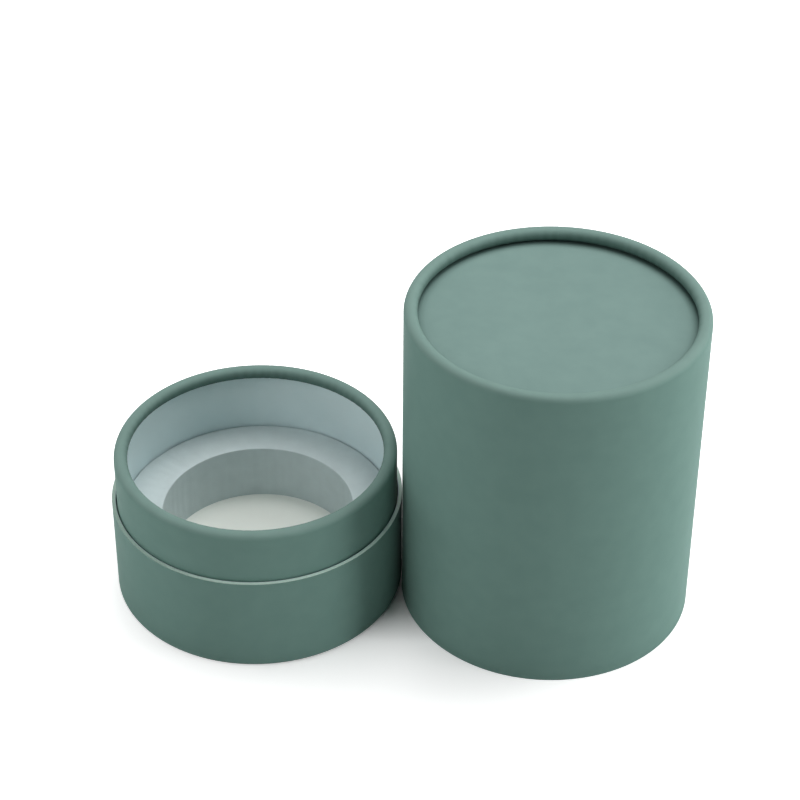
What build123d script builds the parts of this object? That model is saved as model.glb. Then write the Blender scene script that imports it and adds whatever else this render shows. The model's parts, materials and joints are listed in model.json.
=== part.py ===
"""Cylindrical gift tube box of wound paper board, opened: the base with its neck, and the lid beside it.

Millimetres, +Z up. The origin is the centre of the base on the surface that both halves stand on,
and +X runs from the base to the lid. The lid stands on its cut mouth, with its rolled rim on top.
Each tube is wound from three plies, a coloured wrap outside, board, and a white liner inside. One end
of it is curled inwards and rolled under into a round bead, and the discs of board seat against it.
"""

import os
from math import degrees
from typing import NamedTuple

from build123d import *

# Overall sizes
tube_radius = 43.0
base_height = 31.5
neck_top_height = 48.0
lid_height = 101.0
gap_between_halves = 0.15

# Plies of the tubes, papers and discs
wrap_thickness = 0.2
tube_board_thickness = 0.75
neck_board_thickness = 0.7
liner_thickness = 0.15
facing_thickness = 0.2
disc_thickness = 2.4
lap_width = 7.0

# Rolled beads: inside radius of the roll, and width of the flats between its quarter turns
rim_bend_radius = 0.8
rim_flat = 0.2
foot_bend_radius = 0.7
foot_flat = 0.4
neck_bend_radius = 0.85
neck_flat = 0.2

# Foam insert
foam_thickness = 18.0
foam_wall = 12.05
foam_edge_radius = 0.5

# Clearances: of the lid round the neck, of a disc round its edge and under its bead, and of the foam
neck_clearance = 0.4
disc_clearance = 0.05
foam_clearance = 0.2

# Angles
quarter_turn = 90
seam_angle = 90

# Worked out from the sizes above
tube_wall = wrap_thickness + tube_board_thickness + liner_thickness
neck_wall = wrap_thickness + neck_board_thickness + liner_thickness
tube_bore_radius = tube_radius - tube_wall
neck_radius = tube_bore_radius - neck_clearance
neck_bore_radius = neck_radius - neck_wall
foam_radius = neck_bore_radius - foam_clearance
socket_radius = foam_radius - foam_wall
disc_radius = tube_bore_radius - disc_clearance
lid_centre_x = tube_radius + gap_between_halves + tube_radius
foot_bead = 2 * (foot_bend_radius + tube_wall) + foot_flat
rim_bead = 2 * (rim_bend_radius + tube_wall) + rim_flat
bottom_paper_z = foot_bead + disc_clearance
bottom_disc_z = bottom_paper_z + facing_thickness
floor_paper_z = bottom_disc_z + disc_thickness
foam_z = floor_paper_z + facing_thickness
lid_paper_z = lid_height - rim_bead - disc_clearance - facing_thickness
lid_disc_z = lid_paper_z - disc_thickness
ceiling_paper_z = lid_disc_z - facing_thickness


class BeadedTube(NamedTuple):
    """A wound tube with one cut end and one end rolled inwards into a bead.

    The section plane has its origin where the axis meets the cut end, its X along the radius,
    and its Y along the axis from the cut end to the crest of the bead.
    """

    section: Plane
    radius: float
    length: float
    wall: float
    bend_radius: float
    flat: float


# The base has its bead at the foot, so its section runs down from the cut edge that the lid meets
base = BeadedTube(
    section=Plane((0, 0, base_height), x_dir=Axis.X.direction, z_dir=Axis.Y.direction),
    radius=tube_radius,
    length=base_height,
    wall=tube_wall,
    bend_radius=foot_bend_radius,
    flat=foot_flat,
)

# The neck stands on the bottom disc inside the base, with its bead at the top
neck = BeadedTube(
    section=Plane((0, 0, floor_paper_z), x_dir=Axis.X.direction, z_dir=-Axis.Y.direction),
    radius=neck_radius,
    length=neck_top_height - floor_paper_z,
    wall=neck_wall,
    bend_radius=neck_bend_radius,
    flat=neck_flat,
)

# The lid stands on its cut mouth beside the base
lid = BeadedTube(
    section=Plane((lid_centre_x, 0, 0), x_dir=Axis.X.direction, z_dir=-Axis.Y.direction),
    radius=tube_radius,
    length=lid_height,
    wall=tube_wall,
    bend_radius=rim_bend_radius,
    flat=rim_flat,
)


def curl_radius(tube):
    """Outside radius of the roll."""
    return tube.bend_radius + tube.wall


def tube_axis(tube):
    """The tube's own axis."""
    return Axis(tube.section.origin, tube.section.y_dir)


def rolled_ply(tube, near, far):
    """One ply of a tube, which lies between two depths under the outer skin.

    Its section follows the wall up from the cut end and then makes three quarter turns, in over the
    crest, down the lip and back under the bead, with a narrow flat after each of the first two.
    """
    curl = curl_radius(tube)
    outer_x = tube.radius - curl
    inner_x = outer_x - tube.flat
    crest_y = tube.length - curl
    lip_y = crest_y - tube.flat
    half_turn = 2 * quarter_turn

    with BuildPart() as ply:
        with BuildSketch(tube.section):
            with BuildLine():
                for depth in (near, far):
                    turn = curl - depth
                    Line((outer_x + turn, 0), (outer_x + turn, crest_y))
                    CenterArc((outer_x, crest_y), turn, 0, quarter_turn)
                    Line((outer_x, crest_y + turn), (inner_x, crest_y + turn))
                    CenterArc((inner_x, crest_y), turn, quarter_turn, quarter_turn)
                    Line((inner_x - turn, crest_y), (inner_x - turn, lip_y))
                    CenterArc((inner_x, lip_y), turn, half_turn, quarter_turn)
                Line((tube.radius - near, 0), (tube.radius - far, 0))
                Line((inner_x, lip_y - curl + near), (inner_x, lip_y - curl + far))
            make_face()
        revolve(axis=tube_axis(tube))
    return ply


def plain_wrap(tube):
    """The coloured wrap of the neck, whose ends meet edge to edge so that the lid slides over them."""
    return rolled_ply(tube, 0, wrap_thickness)


def lapped_wrap(tube):
    """The coloured wrap of the base or lid, whose end laps over its start down the back of the wall.

    The lap is pressed flat where the paper turns into the bead, so it stops at the bend.
    """
    skin = plain_wrap(tube)
    lap_length = tube.length - curl_radius(tube)
    lap_angle = degrees(lap_width / tube.radius)
    seam_x_dir = tube.section.x_dir.rotate(Axis.Z, seam_angle)
    seam_z_dir = tube.section.z_dir.rotate(Axis.Z, seam_angle)

    with BuildPart() as wrap:
        add(skin.part)
        with BuildSketch(Plane(tube.section.origin, x_dir=seam_x_dir, z_dir=seam_z_dir)):
            with Locations((tube.radius + wrap_thickness / 2, lap_length / 2)):
                Rectangle(wrap_thickness, lap_length)
        revolve(axis=tube_axis(tube), revolution_arc=lap_angle)
    return wrap


def board_ply(tube):
    """The stiff ply between the wrap and the liner."""
    return rolled_ply(tube, wrap_thickness, tube.wall - liner_thickness)


def liner_ply(tube):
    """The white ply on the inside, which is wound and rolled with the board."""
    return rolled_ply(tube, tube.wall - liner_thickness, tube.wall)


def flat_disc(centre_x, z, radius, thickness):
    """A die-cut disc of board or paper."""
    with BuildPart() as disc:
        with BuildSketch(Plane((centre_x, 0, z))):
            Circle(radius)
        extrude(amount=thickness)
    return disc


def foam_ring():
    """The insert that holds a bottle's foot, cut from foam, with softened edges on top."""
    with BuildPart() as ring:
        with BuildSketch(Plane.XY.offset(foam_z)):
            Circle(foam_radius)
            Circle(socket_radius, mode=Mode.SUBTRACT)
        extrude(amount=foam_thickness)
        fillet(ring.faces().sort_by(Axis.Z)[-1].edges(), radius=foam_edge_radius)
    return ring


def save(piece, label):
    """Names a finished piece and writes it to its own file."""
    piece.part.label = label
    export_step(piece.part, f"parts/{label}.step")
    print(label, round(piece.part.volume), "mm3")


os.makedirs("parts", exist_ok=True)

# Base
save(lapped_wrap(base), "base_wrap")
save(board_ply(base), "base_tube")
save(liner_ply(base), "base_liner")
save(flat_disc(0, bottom_paper_z, disc_radius, facing_thickness), "bottom_paper")
save(flat_disc(0, bottom_disc_z, disc_radius, disc_thickness), "bottom_disc")

# Neck and insert
save(plain_wrap(neck), "neck_wrap")
save(board_ply(neck), "neck_tube")
save(liner_ply(neck), "neck_liner")
save(flat_disc(0, floor_paper_z, neck_bore_radius - disc_clearance, facing_thickness), "floor_paper")
save(foam_ring(), "foam_insert")

# Lid
save(lapped_wrap(lid), "lid_wrap")
save(board_ply(lid), "lid_tube")
save(liner_ply(lid), "lid_liner")
save(flat_disc(lid_centre_x, lid_paper_z, disc_radius, facing_thickness), "lid_top_paper")
save(flat_disc(lid_centre_x, lid_disc_z, disc_radius, disc_thickness), "lid_disc")
save(flat_disc(lid_centre_x, ceiling_paper_z, disc_radius, facing_thickness), "lid_ceiling_paper")

print("closed height", round(base_height + lid_height, 1), "mm")
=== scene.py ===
# %% [markdown]
# # A gift tube box of wound paper board
# The box is made of three tubes: the base, the neck inside it and the lid, which stands beside them.
# Each tube is wound from a coloured wrap, board and a white liner, and one end of it is rolled inwards
# and under into a round bead. The rigid model already has every ply at its real size, so this file
# measures it and lays smooth, slightly handmade surfaces over it: paper that is pleated where it turns
# over a rim, a lap seam down the back, cut edges that show their plies, and foam with soft, die-cut edges.

# %% Load the rigid model
import json
import math

import bmesh
import bpy
import numpy as np
from mathutils import Matrix, Vector


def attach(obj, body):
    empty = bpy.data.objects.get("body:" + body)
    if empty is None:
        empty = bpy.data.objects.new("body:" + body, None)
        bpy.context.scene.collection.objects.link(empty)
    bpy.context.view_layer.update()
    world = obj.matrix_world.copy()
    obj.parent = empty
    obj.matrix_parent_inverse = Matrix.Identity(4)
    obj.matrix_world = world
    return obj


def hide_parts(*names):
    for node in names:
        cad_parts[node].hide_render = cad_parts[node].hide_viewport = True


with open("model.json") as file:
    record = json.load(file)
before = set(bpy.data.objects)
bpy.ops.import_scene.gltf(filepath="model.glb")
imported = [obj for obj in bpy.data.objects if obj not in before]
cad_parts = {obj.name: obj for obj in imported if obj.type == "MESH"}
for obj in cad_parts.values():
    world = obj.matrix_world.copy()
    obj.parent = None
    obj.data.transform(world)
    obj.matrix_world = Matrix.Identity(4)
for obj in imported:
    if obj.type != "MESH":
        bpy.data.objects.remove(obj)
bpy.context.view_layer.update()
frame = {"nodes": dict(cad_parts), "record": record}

MM = 0.001

# %% [markdown]
# ## Standing where the photographer stood
# The camera comes first, because every later choice is judged through it. It is set up as a photographer
# would describe it: a lens, a distance, and the angles at which it looks down at a point between and
# behind the two halves. A rotation is built from the inside out: a small roll about the line of sight,
# then a tilt up from straight down, then a turn about the vertical.

# %% Place the camera
LENS_MM = 105.24
ELEVATION = math.radians(36.707)
AZIMUTH = math.radians(3.314)
ROLL = math.radians(0.286)
DISTANCE = 782.8 * MM
AIM = Vector((37.12, 89.22, 0.0)) * MM

camera = bpy.data.objects.new("camera", bpy.data.cameras.new("camera"))
bpy.context.scene.collection.objects.link(camera)
bpy.context.scene.camera = camera
camera.data.lens = LENS_MM
turn = Matrix.Rotation(AZIMUTH, 4, "Z") @ Matrix.Rotation(math.pi / 2 - ELEVATION, 4, "X")
camera.matrix_world = Matrix.Translation(AIM) @ turn @ Matrix.Rotation(ROLL, 4, "Z")
camera.matrix_world = camera.matrix_world @ Matrix.Translation((0.0, 0.0, DISTANCE))
print("camera at", [round(v / MM, 1) for v in camera.matrix_world.translation])

# %% [markdown]
# ## A white table in a white room
# The object stands on a white sweep, so the background is white everywhere and only a soft shadow lies
# round the feet. More light would give that white too, but it would also wash out the paper. Instead
# the floor looks different to different rays. The camera sees matt paint with a faint glow beside the
# tubes, where the shadow lies, and an even white glow further out. The light that bounces from the floor
# to the object comes from plain grey paint. The room does the same: it is white to the camera and to
# reflections, and dark to everything else, so that the lamps alone shape the tubes.

# %% Paint the floor and the room
FLOOR_HALF = 4.0
FLOOR_BOUNCE = 0.66
FLOOR_PAINT = 0.9
ROOM_LIGHT = 0.0
BASE_AXIS = Vector((0.0, 0.0, 0.0))
LID_AXIS = Vector(next(m["pos_m"] for m in frame["record"]["mounts"] if m["name"] == "lid_mouth"))
GLOW_SPAN = 300 * MM
GLOW = {92: 0.0, 99: 0.18, 105: 0.34, 132: 0.45, 148: 0.55, 178: 0.7, 230: 1.0}


def grey(level):
    """A neutral colour of one linear level."""
    return (level, level, level, 1.0)


def seen_directly(nodes, links):
    """Output socket that is 1 on camera rays and on the rays of gloss and glass, and 0 on all others."""
    path = nodes.new("ShaderNodeLightPath")
    seen = path.outputs["Is Camera Ray"]
    for kind in ("Is Glossy Ray", "Is Transmission Ray"):
        either = nodes.new("ShaderNodeMath")
        either.operation = "MAXIMUM"
        links.new(seen, either.inputs[0])
        links.new(path.outputs[kind], either.inputs[1])
        seen = either.outputs[0]
    return seen


def distance_from(nodes, links, place, axis):
    """Output socket of the distance between a place on the floor and the foot of an axis."""
    gap = nodes.new("ShaderNodeVectorMath")
    gap.operation = "DISTANCE"
    gap.inputs[1].default_value = axis
    links.new(place, gap.inputs[0])
    return gap.outputs["Value"]


def glow_level(nodes, links):
    """Output socket of the floor's glow, which follows the sum of the distances to both axes.

    The sum is the same along any ellipse round the two feet. It is smallest in the wedge between them,
    and the table GLOW gives the level at each sum in millimetres.
    """
    place = nodes.new("ShaderNodeTexCoord").outputs["Object"]
    both, share = nodes.new("ShaderNodeMath"), nodes.new("ShaderNodeMath")
    links.new(distance_from(nodes, links, place, BASE_AXIS), both.inputs[0])
    links.new(distance_from(nodes, links, place, LID_AXIS), both.inputs[1])
    share.operation = "DIVIDE"
    share.inputs[1].default_value = GLOW_SPAN
    links.new(both.outputs[0], share.inputs[0])
    ramp = nodes.new("ShaderNodeValToRGB")
    stops = ramp.color_ramp.elements
    while len(stops) < len(GLOW):
        stops.new(1.0)
    for stop, (total, level) in zip(stops, GLOW.items()):
        stop.position = total * MM / GLOW_SPAN
        stop.color = grey(level)
    links.new(share.outputs[0], ramp.inputs["Fac"])
    return ramp.outputs["Color"]


def floor_material():
    """Matt paint, with a glow that only the camera and reflections see."""
    material = bpy.data.materials.new("white_sweep")
    material.use_nodes = True
    nodes, links = material.node_tree.nodes, material.node_tree.links
    nodes.clear()
    bounce, paint = nodes.new("ShaderNodeBsdfDiffuse"), nodes.new("ShaderNodeBsdfDiffuse")
    glow, both = nodes.new("ShaderNodeEmission"), nodes.new("ShaderNodeAddShader")
    mix, output = nodes.new("ShaderNodeMixShader"), nodes.new("ShaderNodeOutputMaterial")
    bounce.inputs["Color"].default_value = grey(FLOOR_BOUNCE)
    paint.inputs["Color"].default_value = grey(FLOOR_PAINT)
    links.new(glow_level(nodes, links), glow.inputs["Color"])
    links.new(seen_directly(nodes, links), mix.inputs[0])
    links.new(bounce.outputs[0], mix.inputs[1])
    links.new(paint.outputs[0], both.inputs[0])
    links.new(glow.outputs[0], both.inputs[1])
    links.new(both.outputs[0], mix.inputs[2])
    links.new(mix.outputs[0], output.inputs["Surface"])
    return material


def room():
    """White to the camera and to reflections, dark to everything else."""
    world = bpy.data.worlds.new("white_room")
    world.use_nodes = True
    nodes, links = world.node_tree.nodes, world.node_tree.links
    nodes.clear()
    dark, white = nodes.new("ShaderNodeBackground"), nodes.new("ShaderNodeBackground")
    mix, output = nodes.new("ShaderNodeMixShader"), nodes.new("ShaderNodeOutputWorld")
    dark.inputs["Strength"].default_value = ROOM_LIGHT
    white.inputs["Color"].default_value = grey(1.0)
    links.new(seen_directly(nodes, links), mix.inputs[0])
    links.new(dark.outputs[0], mix.inputs[1])
    links.new(white.outputs[0], mix.inputs[2])
    links.new(mix.outputs[0], output.inputs["Surface"])
    return world


def floor():
    """One large square, level with the feet of both halves."""
    mesh = bpy.data.meshes.new("floor")
    corners = np.array([(-1, -1, 0), (1, -1, 0), (1, 1, 0), (-1, 1, 0)]) * FLOOR_HALF
    mesh.from_pydata(corners.tolist(), [], [(0, 1, 2, 3)])
    mesh.materials.append(floor_material())
    return bpy.data.objects.new("floor", mesh)


sweep = floor()
bpy.context.scene.collection.objects.link(sweep)
bpy.context.scene.world = room()
bpy.context.scene.view_settings.view_transform = "Standard"

# %% [markdown]
# ## Seven soft boxes
# A lamp's softness is its size seen from the object. The lamps here are squares, most of them large, and
# all of them hang at the same distance. The brightest is high behind the box and gives the tops their
# tone, with a weaker one overhead that reaches down into the neck. Three stand at the right: a high one
# that lights the inside of the neck, a low one, and a small one that runs the pale band down the lid and
# ends it sharply on the base. Two stand at the left, where the base keeps the low one off the lid. Each is
# placed by the direction it shines from, and a turn that carries the lamp's own axis onto that direction
# points it at the object.

# %% Hang the lamps
LAMP_AIM = Vector((43.0, 0.0, 40.0)) * MM
LAMP_AWAY = 1.2
LAMPS = {
    "overhead": {"azimuth": 0, "elevation": 88, "size": 0.5, "watts": 2.1},
    "top_back": {"azimuth": 160, "elevation": 65, "size": 0.8, "watts": 7.3},
    "right_high": {"azimuth": 92, "elevation": 42, "size": 1.0, "watts": 5.2},
    "right_low": {"azimuth": 98, "elevation": 18, "size": 0.8, "watts": 1.3},
    "right_front": {"azimuth": 75, "elevation": 6, "size": 0.25, "watts": 3.3},
    "left_front": {"azimuth": -52, "elevation": 32, "size": 0.7, "watts": 3.3},
    "left_low": {"azimuth": -82, "elevation": 5, "size": 0.5, "watts": 1.9},
}


def soft_box(name, azimuth, elevation, size, watts):
    """A square lamp that shines from the given direction: 0 degrees is the viewer's side, 90 the right."""
    lamp = bpy.data.lights.new(name, "AREA")
    lamp.size = size
    lamp.energy = watts
    around, up = math.radians(azimuth), math.radians(elevation)
    flat = math.cos(up)
    towards = Vector((flat * math.sin(around), -flat * math.cos(around), math.sin(up)))
    facing_turn = towards.to_track_quat("Z", "Y").to_matrix().to_4x4()
    box = bpy.data.objects.new(name, lamp)
    box.matrix_world = Matrix.Translation(LAMP_AIM + towards * LAMP_AWAY) @ facing_turn
    bpy.context.scene.collection.objects.link(box)
    return box


for lamp_name, settings in LAMPS.items():
    print("lamp", soft_box(lamp_name, **settings).name, settings["watts"], "W")

# %% [markdown]
# ## Paper, board and foam
# All the finishes are matt, so a finish is mostly its colour, its unevenness and its tooth. Each one is a
# Principled shader whose colour drifts slightly between two tones by a noise in object space, and whose
# surface is pricked by finer noises through Bump nodes. Noise scales are waves per metre here, because the
# scene is in metres: a grain of a quarter of a millimetre is a scale of 4000.
#
# Some light and shade is painted into the colour. A mesh can keep two marks with every point, from 0 to 1,
# and the finish reads them and shifts its colour. One is painted shade: darker paper where it turns in
# under a rim, on the discs next to the bead and on the foam's cut walls. The other is a painted sheen:
# greyer paper over the crest of a rim, where the light from above lies. As a part of the mesh they stay put
# from any side.

# %% Helpers for matt finishes
SHEEN_ROUGHNESS = 0.5
# The first mark greys the crest of a rim as a painted sheen, and the second darkens as painted shade.
PAINTED_MARKS = {
    "stretched": {"Saturation": 0.84, "Value": 0.97},
    "tucked": {"Saturation": 1.35, "Value": 0.38},
}


def srgb(red, green, blue):
    """A display colour of 0 to 255 as the linear colour that shaders take.

    With its level as a share of 255, it is the level over 12.92 up to 0.04045, and above that it is
    (level + 0.055) over 1.055, to the power 2.4.
    """
    level = np.array([red, green, blue]) / 255
    linear = np.where(level <= 0.04045, level / 12.92, ((level + 0.055) / 1.055) ** 2.4)
    return (*(float(v) for v in linear), 1.0)


def noise(nodes, links, scale, detail=2.0):
    """Output socket of a noise in object space."""
    place = nodes.new("ShaderNodeTexCoord")
    texture = nodes.new("ShaderNodeTexNoise")
    texture.inputs["Scale"].default_value = scale
    texture.inputs["Detail"].default_value = detail
    links.new(place.outputs["Object"], texture.inputs["Vector"])
    return texture.outputs["Fac"]


def tones(nodes, links, factor, dark, light, spread=0.2):
    """Output socket of a colour that drifts from dark to light round a factor of one half."""
    ramp = nodes.new("ShaderNodeValToRGB")
    ramp.color_ramp.elements[0].position = 0.5 - spread
    ramp.color_ramp.elements[0].color = dark
    ramp.color_ramp.elements[1].position = 0.5 + spread
    ramp.color_ramp.elements[1].color = light
    links.new(factor, ramp.inputs["Fac"])
    return ramp.outputs["Color"]


def with_painted_light(nodes, links, colour):
    """Output socket of a colour with painted sheen and shade, shifted by the table of marks where they near
    1.
    """
    for mark, shifts in PAINTED_MARKS.items():
        place = nodes.new("ShaderNodeAttribute")
        place.attribute_name = mark
        shift = nodes.new("ShaderNodeHueSaturation")
        for socket, factor in shifts.items():
            shift.inputs[socket].default_value = factor
        links.new(place.outputs["Fac"], shift.inputs["Fac"])
        links.new(colour, shift.inputs["Color"])
        colour = shift.outputs["Color"]
    return colour


def matt(name, dark, light, drift, grains, roughness, gloss=0.15, sheen=0.0, marks=False):
    """A matt finish. drift is the scale of its tones, and grains are bumps of (scale, detail, depth).

    With marks, its colour takes the painted sheen and painted shade that the mesh's marks ask for.
    """
    material = bpy.data.materials.new(name)
    material.use_nodes = True
    nodes, links = material.node_tree.nodes, material.node_tree.links
    shader = nodes["Principled BSDF"]
    shader.inputs["Roughness"].default_value = roughness
    shader.inputs["Specular IOR Level"].default_value = gloss
    shader.inputs["Sheen Weight"].default_value = sheen
    shader.inputs["Sheen Roughness"].default_value = SHEEN_ROUGHNESS
    colour = tones(nodes, links, noise(nodes, links, drift), dark, light)
    if marks:
        colour = with_painted_light(nodes, links, colour)
    links.new(colour, shader.inputs["Base Color"])
    normal = None
    for scale, detail, depth in grains:
        bump = nodes.new("ShaderNodeBump")
        bump.inputs["Distance"].default_value = depth
        links.new(noise(nodes, links, scale, detail), bump.inputs["Height"])
        if normal:
            links.new(normal, bump.inputs["Normal"])
        normal = bump.outputs["Normal"]
    links.new(normal, shader.inputs["Normal"])
    return material


# %% Mix the finishes
sage = matt(
    "sage_wrap_paper", srgb(124, 159, 150), srgb(127, 162, 153), drift=180.0, roughness=0.62,
    grains=[(90.0, 1.0, 0.02 * MM), (3500.0, 3.0, 0.012 * MM)], gloss=0.05, sheen=0.03, marks=True,
)
# A greyer copy of the sage paper for the discs' faces: painted sheen of the light from above.
sheen_sage = matt(
    "sage_paper_painted_sheen", srgb(127, 155, 149), srgb(131, 159, 153), drift=150.0, roughness=0.66,
    grains=[(80.0, 1.0, 0.02 * MM), (3500.0, 3.0, 0.012 * MM)], gloss=0.1, sheen=0.03, marks=True,
)
paper_core = matt(
    "wrap_paper_core", srgb(204, 225, 215), srgb(213, 234, 224), drift=900.0, roughness=0.85,
    grains=[(6000.0, 3.0, 0.02 * MM)],
)
board = matt(
    "wound_pale_board", srgb(216, 241, 229), srgb(223, 247, 236), drift=1400.0, roughness=0.9,
    grains=[(2500.0, 4.0, 0.03 * MM)],
)
liner = matt(
    "cool_white_liner", srgb(222, 239, 241), srgb(226, 242, 244), drift=120.0, roughness=0.7,
    grains=[(70.0, 1.0, 0.03 * MM), (3000.0, 3.0, 0.012 * MM)],
)
floor_white = matt(
    "warm_white_paper", srgb(248, 251, 244), srgb(250, 253, 246), drift=160.0, roughness=0.75,
    grains=[(80.0, 1.0, 0.03 * MM), (3200.0, 3.0, 0.014 * MM)],
)
foam = matt(
    "white_foam", srgb(209, 221, 222), srgb(214, 226, 227), drift=260.0, roughness=0.8,
    grains=[(1500.0, 2.0, 0.03 * MM), (120.0, 2.0, 0.06 * MM)], marks=True,
)
print("finishes", [m.name for m in (sage, sheen_sage, paper_core, board, liner, floor_white, foam)])

# %% [markdown]
# ## Reading the sizes off the plies
# Nothing is typed here that the model can tell. The vertices of a turned piece lie exactly on its
# circles, so their distance from the axis gives the radii, and their heights give the lengths. Only the
# axis has to be known, and the base's is the origin, while the lid's is given by its mount. Two small
# tolerances say when a vertex counts as lying on a face, and when two of them are in the same place.

# %% Measure the round pieces
ON_FACE = 0.01 * MM
SAME_PLACE = 0.001 * MM


def cylinder_coordinates(node, axis_x):
    """Radius from the axis, angle about it and height of every vertex of a node, as three arrays."""
    mesh = frame["nodes"][node].data
    co = np.zeros(len(mesh.vertices) * 3)
    mesh.vertices.foreach_get("co", co)
    x, y, z = co.reshape(-1, 3).T
    return np.hypot(x - axis_x, y), np.arctan2(y, x - axis_x), z


def tube_sizes(wrap_node, board_node, liner_node, axis_x, rim_up):
    """Sizes of a beaded tube, read from its three plies.

    The crest is the end with the bead. The wrap's own thickness is the step between the crests of wrap
    and board. The roll's radius is what lies outside the crest's flat, and the flat is the span of radii
    found at the wrap's crest height.
    """
    way = 1.0 if rim_up else -1.0
    wrap_r, wrap_angle, wrap_z = cylinder_coordinates(wrap_node, axis_x)
    board_r, _, board_z = cylinder_coordinates(board_node, axis_x)
    liner_r, _, liner_z = cylinder_coordinates(liner_node, axis_x)
    crest = (way * wrap_z).max()
    cut = (way * wrap_z).min()
    wrap_t = crest - (way * board_z).max()
    board_t = (way * board_z).max() - (way * liner_z).max()
    radius = board_r.max() + wrap_t
    at_cut = np.abs(way * liner_z - (way * liner_z).min()) < ON_FACE
    at_crest = np.abs(way * wrap_z - crest) < SAME_PLACE
    crest_r = wrap_r[at_crest]
    lapped = wrap_angle[wrap_r > radius + wrap_t / 2]
    return {
        "axis_x": axis_x,
        "way": way,
        "cut_z": way * cut,
        "length": crest - cut,
        "radius": radius,
        "wrap": wrap_t,
        "board": board_t,
        "liner": radius - wrap_t - board_t - liner_r[at_cut].min(),
        "curl": radius - crest_r.max(),
        "flat": np.ptp(crest_r),
        "lap": (lapped.min(), lapped.max()) if len(lapped) else None,
    }


BASE = tube_sizes("base_wrap", "base_tube", "base_liner", BASE_AXIS.x, rim_up=False)
NECK = tube_sizes("neck_wrap", "neck_tube", "neck_liner", BASE_AXIS.x, rim_up=True)
LID = tube_sizes("lid_wrap", "lid_tube", "lid_liner", LID_AXIS.x, rim_up=True)
for title, tube in (("base", BASE), ("neck", NECK), ("lid", LID)):
    plain = {key: value for key, value in tube.items() if key not in ("way", "lap")}
    print(title, {key: round(float(value) / MM, 3) for key, value in plain.items()})

# %% [markdown]
# ## From a grid of points to a piece
# Every surface below is worked out as a grid: its rows follow the section of the piece, and its columns go
# round the axis. A ring closes both ways, like a tyre. A disc's rows start and end on the axis instead,
# where each row is one point written many times, so those points are merged. Faces are quads between
# neighbours, found for the whole grid at once by shifting the array of numbers by one.

# %% Helpers for grids
SHARP = math.radians(40)


def there_and_back(rows):
    """The rows of a grid, and then the same rows in reverse: a section that goes out and comes back."""
    return np.concatenate([rows, rows[::-1]])


def grid_piece(name, points, finish, closed_section=True, other_finish=None, other=None, **marks):
    """An object whose surface is a grid of points, rows along the section and columns round the axis.

    Faces join each point to its neighbours in the next row and column. other is a grid of flags: a face
    whose first point is flagged takes other_finish. marks are grids of painted shade and painted sheen
    that the finish reads.
    Edges are sharp where two faces meet at more than the angle SHARP.
    """
    rows, columns = points.shape[:2]
    number = np.arange(rows * columns).reshape(rows, columns)
    beside = np.roll(number, -1, axis=1)
    faces = np.stack([number, beside, np.roll(beside, -1, axis=0), np.roll(number, -1, axis=0)], axis=-1)
    flags = np.zeros((rows, columns), bool) if other is None else other
    if not closed_section:
        faces, flags = faces[:-1], flags[:-1]
    mesh = bpy.data.meshes.new(name)
    mesh.from_pydata(points.reshape(-1, 3).tolist(), [], faces.reshape(-1, 4).tolist())
    mesh.materials.append(finish)
    if other_finish:
        mesh.materials.append(other_finish)
    mesh.polygons.foreach_set("material_index", flags.ravel().astype(np.int32))
    for mark, level in marks.items():
        kept = mesh.attributes.new(mark, "FLOAT", "POINT")
        kept.data.foreach_set("value", level.ravel().astype(np.float32))
    tidy_mesh(mesh, merge=not closed_section)
    piece = bpy.data.objects.new(name, mesh)
    bpy.context.scene.collection.objects.link(piece)
    return piece


def tidy_mesh(mesh, merge):
    """Merges the points on the axis where asked, turns the faces outwards and smooths all but sharp edges."""
    work = bmesh.new()
    work.from_mesh(mesh)
    if merge:
        bmesh.ops.remove_doubles(work, verts=work.verts, dist=SAME_PLACE)
    bmesh.ops.recalc_face_normals(work, faces=work.faces)
    work.to_mesh(mesh)
    work.free()
    mesh.shade_smooth()
    mesh.set_sharp_from_angle(angle=SHARP)


def hand_over(piece, node, body):
    """The piece moves with the body and stands for the node, whose rigid part is hidden."""
    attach(piece, body)
    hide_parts(node)
    print(piece.name, len(piece.data.polygons), "faces")


# %% [markdown]
# ## Nothing handmade is quite round
# Paper tubes come off the winder a little out of round, and paper that is curled inwards has to lose a
# tenth of its length round the rim, which it does in fine pleats. Both are sums of cosine waves with
# whole numbers of turns round the axis, so that they close on themselves. A fixed seed draws the waves,
# and the unevenness only ever sinks into the paper, so nothing grows past its real size.

# %% Uneven surfaces from cosine waves
LEAN = 3.0
WAVE_SPREAD = (0.7, 1.6)


def ripples(angle, along, turns, count, seed):
    """Unevenness between 0 and 1 on a grid of places along the section and angles round the axis.

    It is one half plus half of tanh(sum of cosines / root of their count). Each cosine makes a whole number
    of turns round the axis, leans by up to LEAN radians along the section and starts at a phase of its own.
    """
    draw = np.random.default_rng(seed)
    around = draw.integers(turns[0], turns[1] + 1, count)[:, None, None]
    lean = draw.uniform(-LEAN, LEAN, count)[:, None, None]
    phase = draw.uniform(0.0, 2 * math.pi, count)[:, None, None]
    waves = np.cos(around * angle[None, None, :] + lean * along[None, :, None] + phase)
    return 0.5 + 0.5 * np.tanh(waves.sum(axis=0) / math.sqrt(count))


def rolling(x, y, wave, count, seed):
    """Unevenness between 0 and 1 of a flat sheet: the same sum, of waves that cross the sheet every way.

    Each cosine runs in a direction of its own, and its length is wave times a number drawn in WAVE_SPREAD.
    """
    draw = np.random.default_rng(seed)
    way = draw.uniform(0.0, 2 * math.pi, count)
    pace = 2 * math.pi / (wave * draw.uniform(*WAVE_SPREAD, count))
    phase = draw.uniform(0.0, 2 * math.pi, count)
    waves = np.cos(pace * (x[..., None] * np.cos(way) + y[..., None] * np.sin(way)) + phase)
    return 0.5 + 0.5 * np.tanh(waves.sum(axis=-1) / math.sqrt(count))


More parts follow.
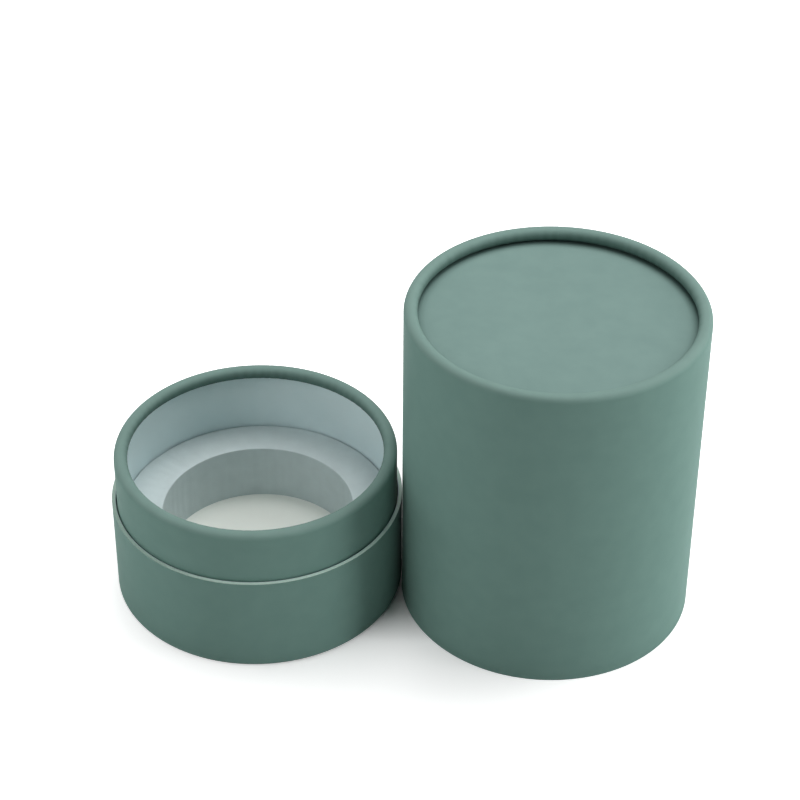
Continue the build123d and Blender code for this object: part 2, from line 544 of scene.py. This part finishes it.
# %% [markdown]
# ## Three plies rolled together
# A beaded rim looks like a hard shape to model, because every ply bends at its own radius. Seen in
# section it is simple: all plies turn about the same centres, and a ply at some depth just lies that
# much nearer to them. So one path is enough. At each row it has a centre and a direction outwards, and a
# ply's face is the centre plus what is left of the roll's radius at its depth. Unevenness is added to the
# depth, so the plies stay nested in each other wherever the tube is out of round.

# %% The path that every ply follows
WALL_ROWS = 20
BEND_ROWS = 13


def rolled_end(tube):
    """Radius at which the roll ends, under the bead: the bead rests on a disc there."""
    return tube["radius"] - tube["curl"] - tube["flat"]


def bead_path(tube):
    """Centre radius, centre height and direction of every row, from the cut end to the end of the roll.

    The centre climbs inside the wall while the direction is level, and then stands through each of three
    quarter turns. It moves in by the flat before the second and down by the flat before the third.
    """
    outer = tube["radius"] - tube["curl"]
    bend = tube["length"] - tube["curl"]
    wall = np.linspace(0.0, bend, WALL_ROWS, endpoint=False)
    centre_r = np.repeat([outer, rolled_end(tube)], [WALL_ROWS + BEND_ROWS, 2 * BEND_ROWS])
    centre_y = np.concatenate([wall, np.repeat([bend, bend - tube["flat"]], [2 * BEND_ROWS, BEND_ROWS])])
    quarter = np.linspace(0.0, 90.0, BEND_ROWS)
    turn = np.concatenate([np.zeros(WALL_ROWS), quarter, quarter + 90.0, quarter + 180.0])
    return centre_r, centre_y, np.radians(turn)


def ply(name, tube, near, far, angle, settle, relief, finish, **look):
    """One ply as a closed ring between two depths under the skin.

    A face of the ply is centre + (curl - depth - settle) in the row's direction. The near face is followed
    from the cut end round the bead and the far face back again. relief sinks the near face alone. look is
    what else grid_piece is told of the finish.
    """
    centre_r, centre_y, turn = (there_and_back(row)[:, None] for row in bead_path(tube))
    reach = np.concatenate([tube["curl"] - near - settle - relief, (tube["curl"] - far - settle)[::-1]])
    radius = centre_r + reach * np.cos(turn)
    height = tube["cut_z"] + tube["way"] * (centre_y + reach * np.sin(turn))
    x = tube["axis_x"] + radius * np.cos(angle)
    points = np.stack([x, radius * np.sin(angle), height], axis=-1)
    return grid_piece(name, points, finish, **look)


print("rows round a section", 2 * len(bead_path(LID)[0]))

# %% [markdown]
# ## The lap down the back
# The wrap is one sheet whose end laps over its start. Its last edge is a clean step as high as the paper
# is thick, and where it climbs over the hidden first edge there is only a soft ramp. Columns that are
# evenly spaced would blur the step, so more of them crowd round the seam, and two are set a hair apart
# on each side of the step itself. Over the bead the lap is pressed flat, and only a crease is left of it.
# The neck has no lap, because the lid slides over it: there the edges just meet in a fine groove.

# %% Columns, lap and crease
COLUMNS = 560
CROWD_COLUMNS = 9
SEAM = math.pi / 2
HAIR = 0.02 * MM
RAMP = 1.6 * MM
CREASE_DEPTH = 0.05 * MM
CREASE_WIDTH = 0.2 * MM
PRESSED_BY = math.radians(60)


def seam_columns(tube):
    """Angles of the columns: evenly spaced, with more at the step and at the ramp on the lap's far side."""
    even = np.linspace(-math.pi, math.pi, COLUMNS, endpoint=False)
    hair = HAIR / tube["radius"] * np.array([-1.0, 0.0, 1.0])
    crowd = RAMP / tube["radius"] * np.linspace(-0.5, 0.5, CROWD_COLUMNS)
    extra = [SEAM + hair, SEAM + crowd]
    if tube["lap"]:
        extra.append(far_side(tube) + crowd * 2)
    return np.unique(np.concatenate([even, *extra]))


def far_side(tube):
    """Angle of the lap's other side, where the sheet climbs over its own hidden start."""
    return max(tube["lap"], key=lambda side: abs(side - SEAM))


def ease(share):
    """Ease from 0 to 1: 3 s squared minus 2 s cubed, with s held between 0 and 1."""
    held = np.clip(share, 0.0, 1.0)
    return held * held * (3 - 2 * held)


def pressed_flat(tube):
    """How far the lap is pressed flat at each row: 0 on the wall, easing to 1 at PRESSED_BY of the roll."""
    return ease(bead_path(tube)[2] / PRESSED_BY)[:, None]


def lap_height(tube, angle):
    """Height of the lap over the skin, a grid.

    The ramp eases from 0 at the far side to the wrap's thickness, which lasts up to the seam, and past the
    seam there is none. All of it shrinks to nothing where the lap is pressed flat.
    """
    way = math.copysign(1.0, SEAM - far_side(tube))
    climbed = (angle - far_side(tube)) * way * tube["radius"]
    past = (angle - SEAM) * way * tube["radius"] > HAIR / 2
    return tube["wrap"] * np.where(past, 0.0, ease(climbed / RAMP)) * (1 - pressed_flat(tube))


def crease(tube, angle):
    """Depth of the groove along the seam, a bell curve across it."""
    return CREASE_DEPTH * np.exp(-(((angle - SEAM) * tube["radius"] / CREASE_WIDTH) ** 2))[None, :]


print("columns round the lid", len(seam_columns(LID)))

# %% [markdown]
# ## Three tubes of three plies
# Now a tube is three calls. Its plies share one unevenness, and each has its own depths. The wrap also
# gets the lap or groove of its seam, and the pleats: they begin on the crest, where the paper starts to
# be squeezed, and are strongest inside the bead. The ends of the plies show raw, so those faces, and the
# step of the lap, take the colour of the paper's core.

# %% Wind the tubes
OUT_OF_ROUND = 0.05 * MM
ROUND_TURNS = (2, 7)
ROUND_WAVES = 10
PLEAT_DEPTH = 0.05 * MM
PLEAT_TURNS = (45, 120)
PLEAT_WAVES = 24
PLEAT_LEAN = 0.4
PLEAT_START = math.radians(50)
PLEAT_SPAN = math.radians(110)
# Where the painted shade in the roll eases in, in turns of the roll.
ROLL_SHADE_START = math.radians(100)
ROLL_SHADE_END = math.radians(235)
ROLL_SHADE_SPREAD = math.radians(9)


def folds(angle, along, seed):
    """Folds of the squeezed paper, from 0 to 1: fine ripples, which lean less along the section."""
    return ripples(angle, along * PLEAT_LEAN, PLEAT_TURNS, PLEAT_WAVES, seed)


def pleats(tube, fold):
    """Depth of the pleats: the folds squared, so that they are narrow, growing from the crest inwards."""
    squeezed = ease((bead_path(tube)[2] - PLEAT_START) / PLEAT_SPAN)[:, None]
    return PLEAT_DEPTH * squeezed * fold**2


def tucked_in(tube, fold):
    """Painted shade of the wrap, darker where it turns in under the rim, a grid that follows both its faces.

    It eases from 0 on the crest to 1 where the roll nears the disc or the wall, a little sooner in the deep
    pleats than beside them.
    """
    reach = bead_path(tube)[2][:, None] + ROLL_SHADE_SPREAD * (fold - 0.5)
    return there_and_back(ease((reach - ROLL_SHADE_START) / (ROLL_SHADE_END - ROLL_SHADE_START)))


def stretched_over(tube, angle):
    """Painted sheen, greyer paper: a grid on both faces of the wrap, 0 on the wall, 1 where a lap is flat."""
    return there_and_back(pressed_flat(tube) * np.ones_like(angle))


def raw_edges(tube, angle):
    """Grid of flags on a wrap: the two ends of its section, and the step of the lap along the wall."""
    rows = 2 * len(bead_path(tube)[0])
    flags = np.zeros((rows, len(angle)), bool)
    flags[rows // 2 - 1] = True
    flags[-1] = True
    if tube["lap"]:
        at_seam = int(np.argmin(np.abs(angle - SEAM)))
        step = at_seam if far_side(tube) < SEAM else at_seam - 1
        flags[:WALL_ROWS, step] = True
    return flags


def wind(title, tube, body, seed):
    """The wrap, board and liner of a tube, each from the face of the ply outside it to its own far face."""
    angle = seam_columns(tube)
    along = np.linspace(0.0, 1.0, len(bead_path(tube)[0]))
    settle = OUT_OF_ROUND * ripples(angle, along, ROUND_TURNS, ROUND_WAVES, seed)
    fold = folds(angle, along, seed + 1)
    relief = pleats(tube, fold)
    if tube["lap"]:
        relief = relief + crease(tube, angle) * pressed_flat(tube) - lap_height(tube, angle)
    else:
        relief = relief + crease(tube, angle)
    under_wrap = tube["wrap"]
    under_board = under_wrap + tube["board"]
    under_liner = under_board + tube["liner"]
    # The wrap carries painted shade where it turns in under the bead, and a painted sheen over the crest.
    wrap = ply(
        f"{title}_cover_paper", tube, 0.0, under_wrap, angle, settle, relief, sage,
        other_finish=paper_core, other=raw_edges(tube, angle),
        tucked=tucked_in(tube, fold), stretched=stretched_over(tube, angle),
    )
    core = ply(f"{title}_wound_board", tube, under_wrap, under_board, angle, settle, 0.0, board)
    lining = ply(f"{title}_white_lining", tube, under_board, under_liner, angle, settle, 0.0, liner)
    hand_over(wrap, f"{title}_wrap", body)
    hand_over(core, f"{title}_tube", body)
    hand_over(lining, f"{title}_liner", body)


wind("base", BASE, "base", seed=11)
wind("neck", NECK, "base", seed=23)
wind("lid", LID, "lid", seed=37)

# %% [markdown]
# ## Discs that close the ends
# Each end is closed by a disc of board, and a sheet of paper faces it. The boards are sealed in and keep
# the rigid model's own shape. The papers show, so they become thin sheets that roll gently, as glued
# paper does, and dip where the bead of the tube presses on them. Next to the bead they are painted a
# little darker, as painted shade.

# %% Face the discs with paper
SHEET_ROWS = 44
ROLL_DEPTH = 0.05 * MM
ROLL_WAVES = 14
DIP_DEPTH = 0.09 * MM
DIP_WIDTH = 2.5 * MM
SHADE_UNDER_BEAD = 4.5 * MM
PAPER_SEED = 50


def faced_disc(name, node, axis_x, side, press, wave, seed, finish):
    """A thin sheet of paper the size of its node, whose outer face, up or down by side, rolls and dips.

    The dip is a bell curve round the radius at which the tube presses on it, and a painted shade eases
    from 0 to 1 over the last stretch before that radius, darkening the paper next to the bead. Rows run
    from the axis over the outer face to the edge, and back along the flat face to the axis.
    """
    radius, _, height = cylinder_coordinates(node, axis_x)
    edge, low, high = radius.max(), height.min(), height.max()
    outer, inner = (high, low) if side > 0 else (low, high)
    angle = np.linspace(-math.pi, math.pi, COLUMNS // 2, endpoint=False)
    r = np.linspace(0.0, edge, SHEET_ROWS)[:, None]
    x, y = r * np.cos(angle), r * np.sin(angle)
    dip = DIP_DEPTH * np.exp(-(((r - press) / DIP_WIDTH) ** 2))
    top = outer - side * (dip + ROLL_DEPTH * rolling(x, y, wave, ROLL_WAVES, seed))
    x, y = there_and_back(x), there_and_back(y)
    z = np.concatenate([top, np.full_like(top, inner)])
    # Painted shade on the paper next to the bead.
    tucked = there_and_back(ease((r - (press - SHADE_UNDER_BEAD)) / SHADE_UNDER_BEAD) * np.ones_like(angle))
    points = np.stack([axis_x + x, y, z], axis=-1)
    return grid_piece(name, points, finish, closed_section=False, tucked=tucked)


# For each node: its tube, the side that shows, where it is pressed, its waves, finish, slot and body
PAPERS = {
    "lid_top_paper": (LID, 1, rolled_end(LID), 16 * MM, sheen_sage, "sage_paper", "lid"),
    "lid_ceiling_paper": (LID, -1, LID["radius"], 20 * MM, floor_white, "white_paper", "lid"),
    "bottom_paper": (BASE, -1, rolled_end(BASE), 16 * MM, sheen_sage, "sage_paper", "base"),
    "floor_paper": (NECK, 1, NECK["radius"], 14 * MM, floor_white, "white_paper", "base"),
}
for number, (node, (tube, side, press, wave, finish, slot, body)) in enumerate(PAPERS.items()):
    paper = faced_disc(f"{node}_sheet", node, tube["axis_x"], side, press, wave, PAPER_SEED + number, finish)
    hand_over(paper, node, body)

for node in ("bottom_disc", "lid_disc"):
    for holder in frame["nodes"][node].material_slots:
        holder.material = board

# %% [markdown]
# ## A ring of die-cut foam
# A steel rule presses through the foam to cut it, so the cut faces come out a little hollow, the edges are
# soft, and nothing is exactly round. The upright cut walls are painted a shade darker than the top, as
# painted shade. The ring is again a path with a direction outwards at every row, and the unevenness and
# the hollow sink along that direction.

# %% Cut the foam ring
FOAM_WALL_ROWS = 9
FOAM_EDGE_ROWS = 7
FOAM_TOP_ROWS = 14
FOAM_HOLLOW = 0.3 * MM
FOAM_UNEVEN = {
    "broad": {"depth": 0.2 * MM, "turns": (2, 12), "count": 14, "pace": 1, "seed": 71},
    "fine": {"depth": 0.07 * MM, "turns": (20, 70), "count": 24, "pace": 3, "seed": 72},
}
# How much painted shade darkens the upright cut walls of the foam.
PAINTED_CUT_SHADE = 0.24


def foam_path(inner, outer, low, high, edge):
    """Radius, height and outward direction of every row, from the foot of the outer wall to that of the hole.

    Each rounded edge is a quarter circle of the edge radius, and between them lie straight runs.
    """
    rise = np.linspace(low, high - edge, FOAM_WALL_ROWS)
    quarter = np.radians(np.linspace(0.0, 90.0, FOAM_EDGE_ROWS))
    across = np.linspace(outer - edge, inner + edge, FOAM_TOP_ROWS)[1:-1]
    radius = np.concatenate([
        np.full_like(rise, outer), outer - edge + edge * np.cos(quarter[1:]), across,
        inner + edge - edge * np.sin(quarter), np.full_like(rise, inner)[1:],
    ])
    height = np.concatenate([
        rise, high - edge + edge * np.sin(quarter[1:]), np.full_like(across, high),
        high - edge + edge * np.cos(quarter), rise[::-1][1:],
    ])
    direction = np.concatenate([
        0 * rise, quarter[1:], np.full_like(across, math.pi / 2), math.pi / 2 + quarter,
        np.full_like(rise, math.pi)[1:],
    ])
    return radius, height, direction


def foam_ring():
    """The ring as large as its node, sunk along each row's direction by the hollow and the unevenness.

    The hollow is a half sine wave from the bottom of the cut wall to the top. The unevenness is broad and
    fine ripples, which lean at a pace of their own along the section, and all of it eases in at the foot.
    """
    radius, _, height = cylinder_coordinates("foam_insert", BASE_AXIS.x)
    flat_top = radius[height > height.max() - ON_FACE]
    edge = flat_top.min() - radius.min()
    low, high = height.min(), height.max()
    r, z, direction = (row[:, None] for row in foam_path(radius.min(), radius.max(), low, high, edge))
    angle = np.linspace(-math.pi, math.pi, COLUMNS, endpoint=False)
    along = np.linspace(0.0, 1.0, len(r))
    upright = np.abs(np.cos(direction))
    sink = FOAM_HOLLOW * upright * np.sin(math.pi * (z - low) / (high - low))
    for waves in FOAM_UNEVEN.values():
        uneven = ripples(angle, along * waves["pace"], waves["turns"], waves["count"], waves["seed"])
        sink = sink + waves["depth"] * uneven
    sink = sink * ease((z - low) / edge)
    r = r - sink * np.cos(direction)
    z = z - sink * np.sin(direction)
    points = np.stack([r * np.cos(angle), r * np.sin(angle), z], axis=-1)
    print("foam ring from", round(radius.min() / MM, 2), "to", round(radius.max() / MM, 2), "mm")
    # The upright cut walls carry painted shade.
    return grid_piece("foam_ring", points, foam, tucked=PAINTED_CUT_SHADE * upright * np.ones_like(angle))


ring = foam_ring()
hand_over(ring, "foam_insert", "base")
